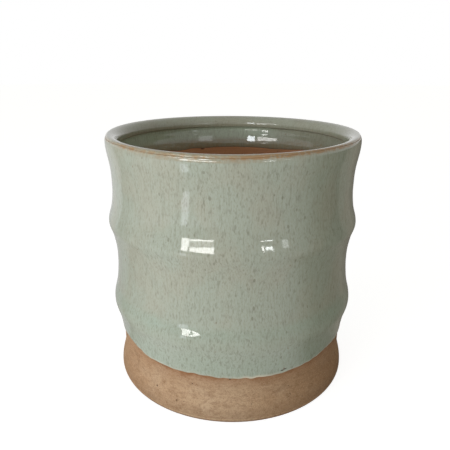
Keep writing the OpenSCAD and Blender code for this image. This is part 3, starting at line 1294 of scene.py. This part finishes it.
@dataclass(frozen=True)
class Screen:
    """A curved card behind the pot that only the gloss sees, pale on the left and dark on the right.

    Each stop gives a bearing, how bright the card is low down and high up, and how much of it there is. Where
    the card is dim, it is warmer.
    """

    radius: float = 0.20
    skirt: float = 0.129
    bottom: float = 0.001
    low: float = 0.125
    high: float = 0.155
    top: float = 0.25
    columns: int = 160
    tint: Colour = (1.0, 1.0, 1.0)
    dim_tint: Colour = (1.0, 0.90, 0.77)
    dim_glow: tuple[float, float] = (0.30, 0.60)
    stops: tuple[tuple[float, float, float, float], ...] = (
        (-190, 0.60, 0.70, 1.0), (-168, 1.00, 1.20, 1.0), (-130, 0.60, 0.72, 1.0), (-112, 0.53, 0.68, 1.0),
        (-105, 0.50, 0.78, 1.0), (-88.5, 0.52, 0.80, 1.0), (-86, 0.32, 0.32, 1.0), (-50, 0.25, 0.25, 0.0),
        (35, 0.15, 0.15, 0.0), (55, 0.12, 0.10, 1.0), (79, 0.19, 0.10, 1.0), (81, 0.21, 0.38, 1.0),
        (98, 0.29, 0.36, 1.0), (106, 0.20, 0.22, 1.0), (128, 0.16, 0.12, 1.0), (145, 0.20, 0.25, 1.0),
        (170, 0.60, 0.70, 1.0),
    )

    def build(self) -> None:
        """Adds the card."""
        bearing = np.linspace(0, 360, self.columns, endpoint=False)
        bearing = np.where(bearing > 170, bearing - 360, bearing)
        places, *values = np.array(self.stops).T
        low_glow, high_glow, share = (np.interp(bearing, places, value) for value in values)
        section = Section(FRONT + np.radians(bearing), ("glow", "held"))
        radii = np.array([self.skirt] + [self.radius] * 4)
        heights = np.array([self.bottom, self.bottom, self.low, self.high, self.top])
        glow = np.stack([low_glow] * 3 + [high_glow] * 2, axis=1)
        section.add(radii, heights, glow=glow, held=share[:, None])
        screen = section.turn("screen", closed=False)

        sheet = NodeSheet(bpy.data.materials.new("screen_card"))
        strength = sheet.painted("glow")
        colour = sheet.blend(sheet.step(strength, *self.dim_glow), self.dim_tint, self.tint)
        glowing = sheet.add("Emission", {"Strength": strength, "Color": colour}).outputs[0]
        clear = sheet.add("BsdfTransparent", {}).outputs[0]
        screen.data.materials.append(sheet.shown(sheet.painted("held"), clear, glowing))
        screen.visible_camera = False
        screen.visible_diffuse = False
        screen.visible_shadow = False
        screen.visible_transmission = False


@dataclass(frozen=True)
class Studio:
    """A pale floor, soft window light and the camera, none of them part of the pot."""

    camera_distance: float = 0.4839
    camera_height: float = 0.3224
    camera_pitch: float = math.radians(19.35)
    camera_yaw: float = math.radians(0.88)
    camera_roll: float = math.radians(0.14)
    lens: float = 38.4
    sensor: float = 36.0
    floor_radius: float = 6.0
    floor_colour: Colour = (0.70, 0.69, 0.66)
    floor_shade: Colour = (0.42, 0.42, 0.42)
    floor_glow: float = 0.87
    ambient: float = 0.31
    ambient_tint: Colour = (1.0, 0.98, 0.88)
    screen: Screen = Screen()
    panes: tuple[Pane, ...] = (
        Pane("left_window_edge", Side.LEFT, 38.5, 0.235, 0.475, 0.18, 13.0),
        Pane("left_window_low", Side.LEFT, 24.2, 0.270, 0.367, 0.53, 14.0),
        Pane("left_window_sill", Side.LEFT, 24.0, 0.380, 0.440, 0.50, 3.5, (1.0, 0.95, 0.90)),
        Pane("left_window_side", Side.LEFT, 23.0, 0.600, 0.900, 0.24, 18.0, SKY, role=Role.MIRRORED),
        Pane("left_window_high", Side.LEFT, 42.5, 0.620, 0.860, 0.60, 9.0, role=Role.MIRRORED),
        Pane("left_strip", Side.LEFT, 36.9, 0.010, 0.130, 0.054, 3.0, (0.90, 0.96, 1.06), distance=0.55),
        Pane("left_softbox", Side.LEFT, 55.0, 0.160, 0.600, 1.50, 5.2, (0.97, 1.0, 1.09), role=Role.SOFT),
        Pane("right_window_edge", Side.RIGHT, 25.5, 0.270, 0.345, 0.05, 19.0),
        Pane("right_window", Side.RIGHT, 30.5, 0.275, 0.335, 0.16, 17.0, CLOUDY),
        Pane("right_window_far", Side.RIGHT, 44.5, 0.290, 0.440, 0.14, 3.5, CLOUDY),
        Pane("right_window_high", Side.RIGHT, 33.0, 0.560, 0.700, 0.44, 2.0, CLOUDY),
    )

    def floor(self) -> None:
        """Adds the floor, which looks white but keeps the pot's shadow."""
        turn = quarters(0, 4, 97)[:-1]
        rim = self.floor_radius * np.stack([np.cos(turn), np.sin(turn), 0 * turn], axis=-1)
        floor = new_piece("floor", rim, np.arange(len(rim))[None, :])
        sheet = NodeSheet(bpy.data.materials.new("pale_floor"))
        plain = sheet.add("BsdfDiffuse", {"Color": self.floor_colour}).outputs[0]
        shade = sheet.add("BsdfDiffuse", {"Color": self.floor_shade}).outputs[0]
        glow = sheet.add("Emission", {"Strength": self.floor_glow}).outputs[0]
        white = sheet.add("AddShader", {0: shade, 1: glow}).outputs[0]
        floor.data.materials.append(sheet.shown(sheet.seen(), plain, white))

    def world(self) -> None:
        """Sets a plain world: white where it is seen or mirrored, and dimmer as light."""
        world = bpy.data.worlds.new("studio")
        bpy.context.scene.world = world
        sheet = NodeSheet(world)
        dim = tuple(self.ambient * part for part in self.ambient_tint)
        sky = sheet.blend(sheet.seen(), dim, (1.0, 1.0, 1.0))
        sheet.feed(sheet.nodes["Background"], {"Color": sky})

    def camera(self) -> None:
        """Adds the camera at the photograph's viewing angle."""
        data = bpy.data.cameras.new("camera")
        data.lens = self.lens
        data.sensor_width = self.sensor
        data.sensor_fit = "HORIZONTAL"
        camera = bpy.data.objects.new("camera", data)
        camera.location = (0, -self.camera_distance, self.camera_height)
        turned = Matrix.Rotation(self.camera_yaw, 3, "Z")
        tipped = Matrix.Rotation(math.pi / 2 - self.camera_pitch, 3, "X")
        rolled = Matrix.Rotation(self.camera_roll, 3, "Z")
        camera.rotation_euler = (turned @ tipped @ rolled).to_euler()
        bpy.context.scene.collection.objects.link(camera)
        bpy.context.scene.camera = camera

    def build(self) -> None:
        """Adds everything that lights, carries and sees the pot."""
        self.camera()
        self.floor()
        self.world()
        self.screen.build()
        for pane in self.panes:
            pane.light()
        bpy.context.scene.view_settings.view_transform = "Standard"
        log.info("studio: floor, world, screen, %d panes and camera", len(self.panes))


def main() -> None:
    """Builds the studio and every piece, in order."""
    logging.basicConfig(level=logging.INFO, format="%(name)s %(message)s")
    Studio().build()
    clay_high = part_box("clay_body")[1]
    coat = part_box("outer_glaze")[1].x - clay_high.x
    pot = Planter(PotShape(height=clay_high.z, coat=coat))
    ClayBody(pot).build(StonewareFinish())
    cracks = (Fault(23.0, 0.0502, 0.1206, 0.0022, 0.0011), Fault(24.4, 0.0511, 0.1207, 0.0020, 0.0010))
    OuterGlaze(pot).build(GlazeFinish("outer_glaze", cracks=cracks))
    # The same glaze as outside, recoloured for the light inside: body and warm a little darker, painted
    # shade; pooled much lighter and greener, painted light with some pooled tint.
    inner_shaded_and_lit_finish = GlazeFinish(
        "inner_glaze", body=srgb(166, 170, 151), warm=srgb(165, 165, 145), pooled=srgb(184, 200, 178),
    )
    InnerGlaze(pot).build(inner_shaded_and_lit_finish)
    low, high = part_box("drain_stopper")
    DrainStopper(low, high, pot.shape.floor_z, pot.shape.drain_radius).build(RubberFinish())


if __name__ == "__main__":
    main()
